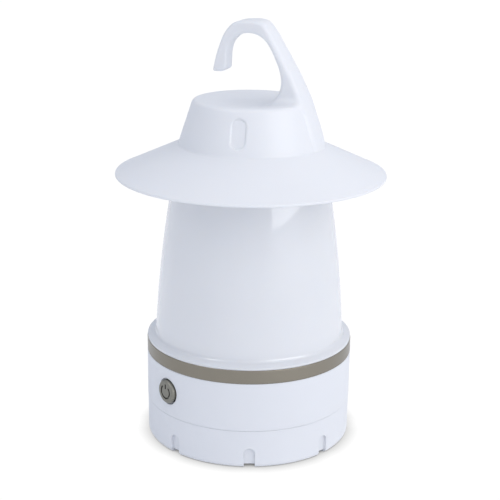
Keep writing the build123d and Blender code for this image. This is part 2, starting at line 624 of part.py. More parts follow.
def battery_compartment():
    """Four bays in one moulding, hung from a flange under the housing's deck."""
    body = at_button(Pos(0, 0, BAY_FOOT_Z) * Box(
        2 * CELL_REACH, 2 * CELL_REACH, TOWER_TOP_Z - BAY_FOOT_Z, align=BOTTOM))
    for i in range(CELL_COUNT):
        body += post(BAY_R + BAY_WALL, CELL_ORBIT, cell_azimuth(i), BAY_FOOT_Z, TOWER_TOP_Z)
    body += disc(COMPARTMENT_FLANGE_R, COMPARTMENT_FLANGE_Z, DECK_Z)
    for azimuth in GUIDE_AZIMUTHS:
        block = Pos(GUIDE_BLOCK_ORBIT, 0, BAY_FOOT_Z) * Box(*GUIDE_BLOCK, align=BOTTOM)
        body += Rot(0, 0, azimuth) * block
        body -= Rot(0, 0, azimuth) * guide_blade(BLADE_PLAY, 0, BLADE_TOP_Z + 6)
    for side in (-1, 1):
        pillar = rod(SWITCH_PILLAR_R, SWITCH_PILLAR_FROM, SWITCH_BOARD_FROM, SWITCH_SCREW_SIDE * side)
        body += at_button(pillar)
    for i in range(CELL_COUNT):
        body -= post(BAY_R, CELL_ORBIT, cell_azimuth(i), 0, CEILING_Z)
    body -= bridge_plate(1, UPPER_CONTACTS_Z, BRIDGE_WIDTH + BRIDGE_SLOT_PLAY)
    body -= disc(PIVOT_WELL_R, 0, PIVOT_WELL_TOP_Z)
    for side in (-1, 1):
        pilot = rod(pilot_radius(BOARD_SCREW), SWITCH_PILOT_FROM, SWITCH_BOARD_FROM + 1,
                    SWITCH_SCREW_SIDE * side)
        body -= at_button(pilot)
    for notch in lead_notches():
        body -= notch
    for azimuth in chassis_azimuths():
        body -= post(clearance_radius(CHASSIS_SCREW), CHASSIS_SCREW_ORBIT, azimuth,
                     COMPARTMENT_FLANGE_Z - 1, DECK_Z + 1)
    for azimuth in board_screw_azimuths():
        body -= post(pilot_radius(BOARD_SCREW), BOARD_SCREW_ORBIT, azimuth,
                     CEILING_Z + BOARD_PILOT_FLOOR, TOWER_TOP_Z + 1)
    return body


def battery_cells():
    """Four C cells, every other one standing on its nub."""
    cells = []
    middle = (0, 0, (CELL_FOOT_Z + CELL_TOP_Z) / 2)
    for i in range(CELL_COUNT):
        can = disc(CELL_R, CELL_FOOT_Z, CELL_TOP_Z - CELL_NUB)
        can = fillet(can.edges().filter_by(GeomType.CIRCLE), CELL_ROUND)
        cell = can + disc(CELL_NUB_R, CELL_TOP_Z - CELL_NUB - 1, CELL_TOP_Z)
        if i % 2 == 1:
            cell = cell.rotate(Axis(middle, (1, 0, 0)), 180)
        cells.append(Rot(0, 0, cell_azimuth(i)) * Pos(CELL_ORBIT, 0, 0) * cell)
    return joined(cells)


def lower_bridge_contacts():
    """Two strips on the carrier, each with a raised pad under a cell that stands nub down."""
    strips = []
    for first in (0, 2):
        strip = bridge_plate(first, CARRIER_TOP_Z, BRIDGE_WIDTH)
        strip += post(CONTACT_PAD_R, CELL_ORBIT, cell_azimuth(first + 1), CARRIER_TOP_Z, CELL_FOOT_Z)
        strips.append(strip)
    return joined(strips)


def lower_contact_springs():
    spring = coil(CARRIER_TOP_Z + CONTACT_THICK, CELL_FOOT_Z, **CONTACT_SPRING)
    return joined([Rot(0, 0, cell_azimuth(i)) * Pos(CELL_ORBIT, 0, 0) * spring for i in (0, 2)])


def upper_bridge_contact():
    strip = bridge_plate(1, UPPER_CONTACTS_Z, BRIDGE_WIDTH)
    return strip + post(CONTACT_PAD_R, CELL_ORBIT, cell_azimuth(2), CELL_TOP_Z, CEILING_Z)


def end_terminals():
    """The battery's two end contacts: a pad for the plus end and a plate for the minus end."""
    plus = post(TERMINAL_R, CELL_ORBIT, cell_azimuth(0), UPPER_CONTACTS_Z, CEILING_Z)
    plus += post(CONTACT_PAD_R, CELL_ORBIT, cell_azimuth(0), CELL_TOP_Z, CEILING_Z)
    minus = post(TERMINAL_R, CELL_ORBIT, cell_azimuth(3), UPPER_CONTACTS_Z, CEILING_Z)
    return joined([plus, minus])


def upper_contact_springs():
    spring = coil(CELL_TOP_Z, UPPER_CONTACTS_Z, **CONTACT_SPRING)
    return joined([Rot(0, 0, cell_azimuth(i)) * Pos(CELL_ORBIT, 0, 0) * spring for i in (1, 3)])


# ---------------------------------------------------------------- the light source
def board_screw_hole(azimuth):
    """A board screw's way through the tray and the lamp board."""
    return post(clearance_radius(BOARD_SCREW), BOARD_SCREW_ORBIT, azimuth,
                TOWER_TOP_Z - 1, LED_BOARD_TOP_Z + 1)


def reflector_tray():
    """A white dish over the compartment that throws the light up into the diffuser."""
    rim_z = TOWER_TOP_Z + TRAY_RIM_HEIGHT
    outline = Polyline(
        (0, TOWER_TOP_Z), (TRAY_FLOOR_R + TRAY_RIM_THICK, TOWER_TOP_Z), (TRAY_RIM_R, rim_z),
        (TRAY_RIM_R - TRAY_RIM_THICK, rim_z + TRAY_RIM_THICK), (TRAY_FLOOR_R, TRAY_TOP_Z),
        (0, TRAY_TOP_Z), close=True)
    body = turned([Plane.XZ * outline])
    for azimuth in board_screw_azimuths():
        body -= board_screw_hole(azimuth)
    lead_hole = disc(LIGHT_LEAD_HOLE_R, TOWER_TOP_Z - 1, TRAY_TOP_Z + 1)
    for side in (-1, 1):
        body -= at_button(Pos(LIGHT_LEAD_X, LIGHT_LEAD_Y * side, 0) * lead_hole)
    return body


def led_board():
    body = disc(LED_BOARD_R, TRAY_TOP_Z, LED_BOARD_TOP_Z)
    for azimuth in board_screw_azimuths():
        body -= board_screw_hole(azimuth)
    return body


def leds():
    """Surface-mount lamps, each a square base with a round lens on it."""
    base = Box(LED_SIZE, LED_SIZE, LED_BASE_HEIGHT, align=BOTTOM)
    lens = disc(LED_LENS_R, LED_BASE_HEIGHT, LED_LENS_TOP)
    placed = Pos(LED_ORBIT, 0, LED_BOARD_TOP_Z) * (base + lens)
    return joined(around(placed, LED_COUNT, BUTTON_AZ))


def board_screws():
    placed = Pos(BOARD_SCREW_ORBIT, 0, LED_BOARD_TOP_Z) * cross_screw(*BOARD_SCREW)
    return joined(around(placed, 3, board_screw_azimuths()[0]))


# ---------------------------------------------------------------- the switch and its button
def power_mark():
    """The power sign: a ring open at its top, with an upright bar in the gap."""
    slant = math.tan(math.radians(MARK_GAP_ANGLE / 2))
    reach = 2 * MARK_R
    gap = make_face(Polyline((0, 0), (-reach * slant, reach), (reach * slant, reach), close=True))
    bar = Pos(0, MARK_BAR_Z) * Rectangle(MARK_LINE, MARK_BAR_LENGTH)
    return Circle(MARK_R) - Circle(MARK_R - MARK_LINE) - gap + bar


def power_button():
    """A round-shouldered cap with a flange that keeps it in, and a stem that meets the switch."""
    cap = rod(BUTTON_R, BUTTON_FLANGE_TO - 0.2, BUTTON_PROUD)
    cap = fillet(cap.edges().group_by(Axis.X)[-1], BUTTON_SHOULDER)
    face = Plane(origin=(BUTTON_PROUD, 0, BUTTON_Z), x_dir=(0, 1, 0), z_dir=(1, 0, 0))
    cap -= face * extrude(power_mark(), -MARK_DEPTH)
    cap += rod(BUTTON_FLANGE_R, BUTTON_FLANGE_FROM, BUTTON_FLANGE_TO)
    cap += rod(BUTTON_STEM_R, BUTTON_STEM_END, BUTTON_FLANGE_FROM)
    return at_button(cap)


def switch_plunger():
    return at_button(rod(PLUNGER_R, PLUNGER_FOOT, BUTTON_STEM_END))


def switch_body():
    body = facing_block(SWITCH_BOARD_TO, SWITCH_TOP, SWITCH_SIZE, SWITCH_SIZE)
    body = chamfer(body.edges().group_by(Axis.X)[-1], 0.4)
    return at_button(body - rod(PLUNGER_R + RUNNING_GAP, SWITCH_BOARD_TO - 1, SWITCH_TOP + 1))


def button_spring():
    spring = coil(SWITCH_TOP, BUTTON_FLANGE_FROM, **BUTTON_SPRING)
    return at_button(Pos(0, 0, BUTTON_Z) * Rot(0, 90, 0) * spring)


def switch_board():
    body = facing_block(SWITCH_BOARD_FROM, SWITCH_BOARD_TO, *SWITCH_BOARD_SIZE)
    for side in (-1, 1):
        body -= rod(clearance_radius(BOARD_SCREW), SWITCH_BOARD_FROM - 1, SWITCH_BOARD_TO + 1,
                    SWITCH_SCREW_SIDE * side)
    return at_button(body)


def switch_board_screws():
    screw = Pos(SWITCH_BOARD_TO, 0, BUTTON_Z) * Rot(0, 90, 0) * cross_screw(*BOARD_SCREW)
    return joined([at_button(Pos(0, SWITCH_SCREW_SIDE * side, 0) * screw) for side in (-1, 1)])


def limit_resistors():
    """Two ceramic resistors that set the current, flat on the switch board."""
    width, height, thick = RESISTOR_SIZE
    block = facing_block(SWITCH_BOARD_TO, SWITCH_BOARD_TO + thick, width, height)
    return joined([at_button(Pos(0, RESISTOR_SIDE * side, 0) * block) for side in (-1, 1)])


# ---------------------------------------------------------------- the cables
def terminal_point(side, distance, z):
    """A point on the line from an end cell's axis, out past the bay's wall and towards the button."""
    return (CELL_REACH + 0.8 * distance, side * (CELL_REACH - 0.6 * distance), z)


def battery_lead_hole(side):
    mouth = terminal_point(side, TERMINAL_LEAD_HOLE, TERMINAL_LEAD_Z)
    drill = Plane(origin=mouth, z_dir=(0.8, -0.6 * side, 0))
    return drill * Cylinder(BATTERY_LEAD_HOLE_R, 8, align=BOTTOM)


def battery_lead(side):
    """A cable from an end terminal, out through the bay's wall and down to the switch board."""
    start = terminal_point(side, TERMINAL_LEAD_START, TERMINAL_LEAD_Z)
    outside = terminal_point(side, TERMINAL_LEAD_DROP, TERMINAL_LEAD_Z)
    drop = (outside[0], outside[1], BOARD_PAD_Z)
    return at_button(cable([start, outside, drop, (SWITCH_BOARD_FROM, drop[1], BOARD_PAD_Z)]))


def light_lead(side):
    """A cable from the switch board up through the tray to the lamp board."""
    y = LIGHT_LEAD_Y * side
    top_z = LED_BOARD_TOP_Z + LIGHT_LEAD_RISE
    return at_button(cable([
        (SWITCH_BOARD_FROM, y, BOARD_PAD_Z), (LIGHT_LEAD_X, y, BOARD_PAD_Z), (LIGHT_LEAD_X, y, top_z),
        (LIGHT_LEAD_END_X, y, top_z), (LIGHT_LEAD_END_X, y, LED_BOARD_TOP_Z)]))


def leads(side):
    return joined([battery_lead(side), light_lead(side)])


# ---------------------------------------------------------------- write one file per piece
PIECES = {
    "shade_hat": shade_hat,
    "hat_screws": hat_screws,
    "diffuser": diffuser,
    "trim_ring": trim_ring,
    "housing": housing,
    "chassis_screws": chassis_screws,
    "battery_cover": battery_cover,
    "cover_gasket": cover_gasket,
    "contact_carrier": contact_carrier,
    "pivot_screw": pivot_screw,
    "pivot_washer": pivot_washer,
    "battery_compartment": battery_compartment,
    "battery_cells": battery_cells,
    "lower_bridge_contacts": lower_bridge_contacts,
    "lower_contact_springs": lower_contact_springs,
    "upper_bridge_contact": upper_bridge_contact,
    "end_terminals": end_terminals,
    "upper_contact_springs": upper_contact_springs,
    "reflector_tray": reflector_tray,
    "led_board": led_board,
    "leds": leds,
    "board_screws": board_screws,
    "power_button": power_button,
    "switch_plunger": switch_plunger,
    "switch_body": switch_body,
    "button_spring": button_spring,
    "switch_board": switch_board,
    "switch_board_screws": switch_board_screws,
    "limit_resistors": limit_resistors,
    "red_leads": lambda: leads(1),
    "black_leads": lambda: leads(-1),
}

os.makedirs("parts", exist_ok=True)
for name, build in PIECES.items():
    export_step(build(), "parts/" + name + ".step")
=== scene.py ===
import json
import math

import bpy
import numpy as np
from mathutils import Matrix, Vector


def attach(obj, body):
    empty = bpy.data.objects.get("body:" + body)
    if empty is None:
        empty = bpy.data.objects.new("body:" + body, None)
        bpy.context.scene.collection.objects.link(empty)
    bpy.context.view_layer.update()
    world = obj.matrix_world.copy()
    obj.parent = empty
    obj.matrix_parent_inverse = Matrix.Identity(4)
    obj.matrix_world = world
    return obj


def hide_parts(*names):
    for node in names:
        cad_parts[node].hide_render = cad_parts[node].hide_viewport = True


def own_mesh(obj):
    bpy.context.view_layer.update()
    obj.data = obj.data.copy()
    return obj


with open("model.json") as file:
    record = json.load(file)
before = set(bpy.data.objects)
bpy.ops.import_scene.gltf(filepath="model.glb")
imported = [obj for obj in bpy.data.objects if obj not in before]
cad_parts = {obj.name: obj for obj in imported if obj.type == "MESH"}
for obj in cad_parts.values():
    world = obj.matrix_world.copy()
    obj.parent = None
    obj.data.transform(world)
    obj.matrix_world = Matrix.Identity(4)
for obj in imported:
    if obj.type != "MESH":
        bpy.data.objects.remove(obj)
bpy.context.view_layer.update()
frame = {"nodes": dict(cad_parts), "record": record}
NODES = frame["nodes"]
MM = 0.001
EDGE_SAMPLES = 6            # of the shading that rounds sharp edges
MARK_SAMPLES = 8            # of the painted shade down in the button's mark
COAT_ROUGHNESS = 0.03


# ------------------------------------------------------------------ node-material helpers
def new_material(name):
    """An empty Principled material and its two usual nodes."""
    material = bpy.data.materials.new(name)
    material.use_nodes = True
    tree = material.node_tree
    shader = tree.nodes["Principled BSDF"]
    return material, tree, shader


def object_coordinates(tree):
    return tree.nodes.new("ShaderNodeTexCoord").outputs["Object"]


def noise(tree, scale, detail=3.0, roughness=0.5):
    """Noise over the object, scale in features per metre."""
    node = tree.nodes.new("ShaderNodeTexNoise")
    node.inputs["Scale"].default_value = scale
    node.inputs["Detail"].default_value = detail
    node.inputs["Roughness"].default_value = roughness
    tree.links.new(object_coordinates(tree), node.inputs["Vector"])
    return node.outputs["Fac"]


def ramp(tree, value, low, high, at_low, at_high):
    """Maps value from low..high to at_low..at_high."""
    node = tree.nodes.new("ShaderNodeMapRange")
    node.inputs["From Min"].default_value = low
    node.inputs["From Max"].default_value = high
    node.inputs["To Min"].default_value = at_low
    node.inputs["To Max"].default_value = at_high
    tree.links.new(value, node.inputs["Value"])
    return node.outputs["Result"]


def mix_colours(tree, factor, first, second):
    """First where the factor is 0, second where it is 1. Inputs 6 and 7 are the node's colours."""
    node = tree.nodes.new("ShaderNodeMix")
    node.data_type = "RGBA"
    tree.links.new(factor, node.inputs["Factor"])
    node.inputs[6].default_value = (*first, 1.0)
    node.inputs[7].default_value = (*second, 1.0)
    return node.outputs[2]


def bump(tree, shader, height, strength, distance, edge_round=0.0):
    """Surface relief, with sharp edges shaded as if rounded to edge_round."""
    node = tree.nodes.new("ShaderNodeBump")
    node.inputs["Strength"].default_value = strength
    node.inputs["Distance"].default_value = distance
    tree.links.new(height, node.inputs["Height"])
    if edge_round:
        rounded = tree.nodes.new("ShaderNodeBevel")
        rounded.samples = EDGE_SAMPLES
        rounded.inputs["Radius"].default_value = edge_round
        tree.links.new(rounded.outputs["Normal"], node.inputs["Normal"])
    for name in ("Normal", "Coat Normal"):
        tree.links.new(node.outputs["Normal"], shader.inputs[name])


def moulded_plastic(name, colour, roughness, grain_depth=0.01, edge_round=0.0, subsurface=0.0, coat=0.0,
                    metallic=0.0):
    """Injection-moulded plastic with faint flow marks, slight orange peel and uneven gloss.

    grain_depth and edge_round are millimetres.
    """
    material, tree, shader = new_material(name)
    flow = ramp(tree, noise(tree, 30.0, 2.0), 0.3, 0.7, 0.0, 1.0)
    darker = tuple(c * 0.985 for c in colour)
    tree.links.new(mix_colours(tree, flow, colour, darker), shader.inputs["Base Color"])
    gloss = ramp(tree, noise(tree, 60.0, 2.0), 0.3, 0.7, roughness * 0.94, roughness * 1.06)
    tree.links.new(gloss, shader.inputs["Roughness"])
    shader.inputs["IOR"].default_value = 1.5
    shader.inputs["Metallic"].default_value = metallic
    shader.inputs["Subsurface Weight"].default_value = subsurface
    shader.inputs["Subsurface Radius"].default_value = (1.0, 0.9, 0.8)
    shader.inputs["Subsurface Scale"].default_value = 2.5 * MM
    shader.inputs["Coat Weight"].default_value = coat
    shader.inputs["Coat Roughness"].default_value = COAT_ROUGHNESS
    bump(tree, shader, noise(tree, 700.0, 2.0), 0.2, grain_depth * MM, edge_round * MM)
    return material


def metal(name, colour, roughness):
    """Plated steel with fine drawn streaks."""
    material, tree, shader = new_material(name)
    streaks = noise(tree, 1400.0, 2.0)
    sheen = ramp(tree, streaks, 0.3, 0.7, roughness * 0.7, roughness * 1.3)
    tree.links.new(sheen, shader.inputs["Roughness"])
    tone = ramp(tree, noise(tree, 240.0, 3.0), 0.3, 0.7, 0.0, 1.0)
    darker = tuple(c * 0.86 for c in colour)
    tree.links.new(mix_colours(tree, tone, colour, darker), shader.inputs["Base Color"])
    shader.inputs["Metallic"].default_value = 1.0
    bump(tree, shader, streaks, 0.12, 0.00002)
    return material


def button_plastic(name, colour, mark_shade_colour, roughness):
    """The button's plastic, with painted shade darkening it down in its engraved mark and other narrow
    recesses.
    """
    material = moulded_plastic(name, colour, roughness, edge_round=0.15, metallic=0.5)
    tree = material.node_tree
    shader = tree.nodes["Principled BSDF"]
    plain = shader.inputs["Base Color"].links[0].from_socket
    # painted shade: the base colour goes to mark_shade_colour where the surface is closed in within 1 mm
    openness = tree.nodes.new("ShaderNodeAmbientOcclusion")
    openness.samples = MARK_SAMPLES
    openness.inputs["Distance"].default_value = 1.0 * MM
    mixed = tree.nodes.new("ShaderNodeMix")
    mixed.data_type = "RGBA"
    tree.links.new(ramp(tree, openness.outputs["AO"], 0.45, 0.8, 0.0, 1.0), mixed.inputs["Factor"])
    mixed.inputs[6].default_value = (*mark_shade_colour, 1.0)
    tree.links.new(plain, mixed.inputs[7])
    tree.links.new(mixed.outputs[2], shader.inputs["Base Color"])
    return material


MATERIALS = {
    "white_shell": moulded_plastic("white_shell", (0.787, 0.804, 0.842), 0.38, 0.015, 0.3, subsurface=0.12),
    "hat_white": moulded_plastic("hat_white", (0.822, 0.835, 0.863), 0.42, 0.004, subsurface=0.2),
    "milk_diffuser": moulded_plastic("milk_diffuser", (0.785, 0.797, 0.822), 0.3, 0.002, 0.3,
                                     subsurface=0.5, coat=1.0),
    "taupe_trim": moulded_plastic("taupe_trim", (0.27, 0.245, 0.196), 0.4, 0.01, 0.3,
                                  coat=0.3, metallic=0.85),
    # the button's second colour is painted shade for its engraved mark and the gap round it
    "taupe_button": button_plastic("taupe_button", (0.25, 0.242, 0.206), (0.05, 0.048, 0.04), 0.42),
    "inner_white": moulded_plastic("inner_white", (0.74, 0.74, 0.72), 0.42, 0.03, 0.3),
    "carrier_black": moulded_plastic("carrier_black", (0.03, 0.03, 0.032), 0.4, 0.03, 0.3),
    "cell_wrap": moulded_plastic("cell_wrap", (0.03, 0.07, 0.16), 0.22, 0.02, coat=0.4),
    "contact_nickel": metal("contact_nickel", (0.72, 0.69, 0.63), 0.24),
    "steel_screw": metal("steel_screw", (0.60, 0.61, 0.62), 0.3),
    "gasket_rubber": moulded_plastic("gasket_rubber", (0.022, 0.022, 0.022), 0.62, 0.04),
    "board_green": moulded_plastic("board_green", (0.02, 0.13, 0.05), 0.3, 0.02, coat=0.3),
    "board_white": moulded_plastic("board_white", (0.78, 0.79, 0.78), 0.3, 0.02),
    "led_yellow": moulded_plastic("led_yellow", (0.80, 0.66, 0.16), 0.25, 0.02),
    "switch_black": moulded_plastic("switch_black", (0.018, 0.018, 0.018), 0.45, 0.03),
    "ceramic": moulded_plastic("ceramic", (0.62, 0.57, 0.48), 0.6, 0.05),
    "lead_red": moulded_plastic("lead_red", (0.45, 0.015, 0.012), 0.35, 0.02),
    "lead_black": moulded_plastic("lead_black", (0.014, 0.014, 0.014), 0.38, 0.02),
}


# ------------------------------------------------------------------ the hat, one moulding
# Its surface is where a distance field over the hat is zero. Lengths in this section are millimetres.
BRIM_R = 59.97
BRIM_EDGE_Z = 121.25
BRIM_THICK = 1.8
BRIM_EDGE_THICK = 1.3
CROWN_BASE = (32.2, 134.3)
CROWN_RIM = (25.8, 153.9)
CROWN_WALL = 2.0
CAVITY_FLARE = 0.6          # the crown's wall thins by this at the brim
CAVITY_FOOT_Z = 120.0
CROWN_FILLET = 0.5          # between the crown's side and the brim
RIM_ROUND = 1.7
DISH_R = 21.6
DISH_DEPTH = 1.6
DISH_SLOPE = 0.62           # the share of the dish's radius that its sloping side takes
LOCATOR = (33.7, 35.5, 124.5, 131.4)    # the ring under the hat: its two radii, foot and top
BOSS_AZIMUTHS = (60, 180, 300)
BOSS_ORBIT = 20.0
BOSS_R = 3.5
BOSS_FOOT_Z = 128.0
BOSS_HALF_LENGTH = 11.0

DIMPLE_AZIMUTHS = (-83, 83, 180)
DIMPLE_Z = 143.9
DIMPLE_HALF_HEIGHT = 6.25
DIMPLE_HALF_WIDTH = 3.0
DIMPLE_DEPTH = 0.65
DIMPLE_SOFTNESS = 0.9

HOOK_OUTER = ((-16.9, 165.6), (-15.7, 171.0), (-13.9, 176.7), (-11.1, 182.8), (-6.7, 187.1), (0.3, 188.3),
              (6.3, 187.5), (10.3, 183.1), (13.9, 177.2), (17.7, 170.9), (21.3, 164.6), (24.9, 157.3),
              (28.0, 149.5), (30.25, 143.3), (31.6, 139.0), (32.8, 134.0))
HOOK_CREST = 6              # the outer side's point just past its top
HOOK_INNER = ((8.0, 148.0), (9.6, 151.6), (12.1, 154.2), (14.4, 158.0), (15.5, 162.6), (14.6, 167.8),
              (12.2, 173.3), (9.4, 178.1), (6.6, 180.9), (3.4, 182.4), (0.2, 182.8), (-3.3, 182.3),
              (-6.6, 180.6), (-8.9, 177.7), (-10.0, 173.4), (-10.2, 166.9))
HOOK_TIP_CORNER = (-12.4, 165.6)
HOOK_END_ROUND = 1.1
HOOK_TIP_HALF_WIDTH = 3.85
HOOK_FOOT_HALF_WIDTH = 9.3
HOOK_TIP_ROUND = 1.1        # rounding of the strap's long edges, at its tip and at its foot
HOOK_FOOT_ROUND = 2.4
HOOK_CAMBER_R = 29.0        # the strap is curved across its width like the crown
HOOK_BLEND = 0.8            # how widely the hook blends into the crown's side
HOOK_BLEND_GROWTH = 4.4     # and how much wider it does on the crown's top
HOOK_BLEND_HEIGHTS = (149.0, 156.0)

CELL = 0.5                  # size of the field's cells
FIELD_REACH = 61.25         # the field's extent either side of the axis
FIELD_HEIGHTS = (118.75, 189.75)
FIELD_BANDS = ((61.5, 118.0, 136.5), (34.0, 136.5, 191.0))  # reach and heights that hold the hat
RELAX_ROUNDS = 3
TABLE_STEP = 0.125          # of the outlines' distance tables
HAT_WINDOW = ((0, 118), (62, 192))      # what the tables cover: lowest and highest corners
HOOK_WINDOW = ((-22, 128), (40, 192))


def smooth_curve(points, steps=6):
    """A Catmull-Rom curve through the points."""
    first, second, *_, last_but_one, last = map(np.array, points)
    knots = [2 * first - second, *map(np.array, points), 2 * last - last_but_one]
    curve = []
    for before, start, end, after in zip(knots, knots[1:], knots[2:], knots[3:]):
        for t in np.arange(steps) / steps:
            linear = (end - before) * t
            square = (2 * before - 5 * start + 4 * end - after) * t**2
            cubic = (3 * start - before - 3 * end + after) * t**3
            curve.append(0.5 * (2 * start + linear + square + cubic))
    return curve + [knots[-2]]


def rounded_corner(before, corner, after, radius, steps=6):
    """Points that turn a sharp corner into a round one."""
    start = corner + (np.subtract(before, corner)) / np.linalg.norm(np.subtract(before, corner)) * radius
    end = corner + (np.subtract(after, corner)) / np.linalg.norm(np.subtract(after, corner)) * radius
    return [start * (1 - t)**2 + 2 * t * (1 - t) * np.array(corner) + end * t**2
            for t in np.arange(steps + 1) / steps]


def outline_distance(x, z, outline):
    """Signed distance from points to a closed outline, negative inside it."""
    nearest = np.full(x.shape, 1e9)
    inside = np.zeros(x.shape, bool)
    for (ax, az), (bx, bz) in zip(outline, np.roll(outline, -1, axis=0)):
        px, pz, ex, ez = x - ax, z - az, bx - ax, bz - az
        along = np.clip((px * ex + pz * ez) / (ex * ex + ez * ez), 0, 1)
        nearest = np.minimum(nearest, (px - along * ex)**2 + (pz - along * ez)**2)
        if az != bz:
            inside ^= ((az > z) != (bz > z)) & (px < pz * ex / ez)
    return np.where(inside, -1, 1) * np.sqrt(nearest)


class DistanceTable:
    """An outline's signed distances on a fine grid, read back by interpolation."""

    def __init__(self, outline, low, high):
        self.low = np.array(low)
        self.size = ((np.array(high) - low) / TABLE_STEP).astype(int) + 1
        x, z = (low[i] + TABLE_STEP * np.arange(self.size[i]) for i in (0, 1))
        self.values = outline_distance(*np.meshgrid(x, z, indexing="ij"), np.array(outline))

    def at(self, x, z):
        u = np.clip((x - self.low[0]) / TABLE_STEP, 0, self.size[0] - 1.001)
        v = np.clip((z - self.low[1]) / TABLE_STEP, 0, self.size[1] - 1.001)
        i, j = u.astype(int), v.astype(int)
        u, v = u - i, v - j
        low_row = self.values[i, j] * (1 - u) + self.values[i + 1, j] * u
        high_row = self.values[i, j + 1] * (1 - u) + self.values[i + 1, j + 1] * u
        return low_row * (1 - v) + high_row * v


def smooth_union(a, b, radius):
    share = np.clip(0.5 + 0.5 * (b - a) / radius, 0, 1)
    return b * (1 - share) + a * share - radius * share * (1 - share)


def smooth_step(value, low, high):
    t = np.clip((value - low) / (high - low), 0, 1)
    return t * t * (3 - 2 * t)


def hat_profile():
    """The hat without its hollow and hook, in radius and height."""
    dish = [(r, CROWN_RIM[1] - DISH_DEPTH * smooth_step(DISH_R - r, 0.0, DISH_SLOPE * DISH_R))
            for r in np.linspace(0, DISH_R, 24)]
    half = BRIM_EDGE_THICK / 2
    under_brim = CROWN_BASE[1] - BRIM_THICK
    edge = [(BRIM_R - half + half * math.cos(a), BRIM_EDGE_Z + half * math.sin(a))
            for a in np.linspace(math.pi / 2, -math.pi / 2, 12)]
    return [*dish, *rounded_corner(dish[-1], CROWN_RIM, CROWN_BASE, RIM_ROUND),
            *rounded_corner(CROWN_RIM, CROWN_BASE, edge[0], CROWN_FILLET), *edge,
            (CROWN_BASE[0] - CROWN_WALL + CAVITY_FLARE, under_brim), (0, under_brim)]


def cavity_profile():
    """The hollow inside the crown, run on past the axis so that no surface forms there."""
    ceiling = CROWN_RIM[1] - DISH_DEPTH - CROWN_WALL
    foot_r = CROWN_BASE[0] - CROWN_WALL + CAVITY_FLARE
    past_axis = -5
    return [(past_axis, CAVITY_FOOT_Z), (foot_r, CAVITY_FOOT_Z), (foot_r, CROWN_BASE[1] - BRIM_THICK),
            (CROWN_RIM[0] - CROWN_WALL, ceiling), (past_axis, ceiling)]


def hook_outline():
    outer = smooth_curve(HOOK_OUTER)
    inner = smooth_curve(HOOK_INNER)
    tip = [*rounded_corner(inner[-4], inner[-1], HOOK_TIP_CORNER, HOOK_END_ROUND),
           *rounded_corner(inner[-1], HOOK_TIP_CORNER, outer[0], HOOK_END_ROUND),
           *rounded_corner(HOOK_TIP_CORNER, outer[0], outer[3], HOOK_END_ROUND)]
    return [*inner[:-3], *tip, *outer[3:]]


def outer_limit():
    """The region on the inner side of the hook's outer curve, which no blend may leave."""
    far_corners = ((70, 100), (-70, 100), (-70, 200), (3, 200))
    return [*smooth_curve(HOOK_OUTER[HOOK_CREST:]), *far_corners]


HAT_TABLE = DistanceTable(hat_profile(), *HAT_WINDOW)
CAVITY_TABLE = DistanceTable(cavity_profile(), *HAT_WINDOW)
HOOK_TABLE = DistanceTable(hook_outline(), *HOOK_WINDOW)
LIMIT_TABLE = DistanceTable(outer_limit(), *HOOK_WINDOW)


def hook_distance(x, y, z):
    """A strap of rounded section that widens from its tip to its foot."""
    bent_x = x + HOOK_CAMBER_R - np.sqrt(np.maximum(HOOK_CAMBER_R**2 - y**2, 1))
    along = np.clip((x - HOOK_OUTER[0][0]) / (HOOK_OUTER[-1][0] - HOOK_OUTER[0][0]), 0, 1)
    half_width = HOOK_TIP_HALF_WIDTH + along * (HOOK_FOOT_HALF_WIDTH - HOOK_TIP_HALF_WIDTH)
    rounding = HOOK_TIP_ROUND + along * (HOOK_FOOT_ROUND - HOOK_TIP_ROUND)
    in_plane = HOOK_TABLE.at(bent_x, z) + rounding
    across = np.abs(y) - half_width + rounding
    outside = np.hypot(np.maximum(in_plane, 0), np.maximum(across, 0))
    return outside + np.minimum(np.maximum(in_plane, across), 0) - rounding, LIMIT_TABLE.at(bent_x, z)


def dimple_distance(x, y, z, azimuth):
    """A long-round cutter lying on the crown's sloping side."""
    turn = math.radians(azimuth)
    outwards = x * math.cos(turn) + y * math.sin(turn)
    sideways = y * math.cos(turn) - x * math.sin(turn)
    lean = math.atan2(CROWN_BASE[0] - CROWN_RIM[0], CROWN_RIM[1] - CROWN_BASE[1])
    side_r = CROWN_BASE[0] - (DIMPLE_Z - CROWN_BASE[1]) * math.tan(lean)
    out, rise = outwards - side_r, z - DIMPLE_Z
    depth = out * math.cos(lean) + rise * math.sin(lean) + DIMPLE_DEPTH
    up = rise * math.cos(lean) - out * math.sin(lean)
    straight = DIMPLE_HALF_HEIGHT - DIMPLE_HALF_WIDTH
    ring = np.hypot(sideways, np.maximum(np.abs(up) - straight, 0)) - DIMPLE_HALF_WIDTH
    return np.maximum(ring, -depth)


def hat_distance(x, y, z):
    """The hat's signed distance field."""
    r = np.hypot(x, y)
    crown = HAT_TABLE.at(r, z)
    hook, limit = hook_distance(x, y, z)
    blend = HOOK_BLEND + HOOK_BLEND_GROWTH * smooth_step(z, *HOOK_BLEND_HEIGHTS)
    hat = smooth_union(crown, hook, blend)
    hat = np.maximum(hat, np.minimum(np.minimum(crown, hook), limit))
    for azimuth in DIMPLE_AZIMUTHS:
        hat = -smooth_union(-hat, dimple_distance(x, y, z, azimuth), DIMPLE_SOFTNESS)
    hat = np.maximum(hat, -CAVITY_TABLE.at(r, z))
    inner_r, outer_r, foot_z, top_z = LOCATOR
    locator = np.maximum(np.abs(r - (inner_r + outer_r) / 2) - (outer_r - inner_r) / 2,
                         np.abs(z - (foot_z + top_z) / 2) - (top_z - foot_z) / 2)
    hat = np.minimum(hat, locator)
    for azimuth in BOSS_AZIMUTHS:
        turn = math.radians(azimuth)
        boss = np.hypot(x - BOSS_ORBIT * math.cos(turn), y - BOSS_ORBIT * math.sin(turn)) - BOSS_R
        height = np.abs(z - BOSS_FOOT_Z - BOSS_HALF_LENGTH) - BOSS_HALF_LENGTH
        hat = np.minimum(hat, np.maximum(boss, height))
    return hat


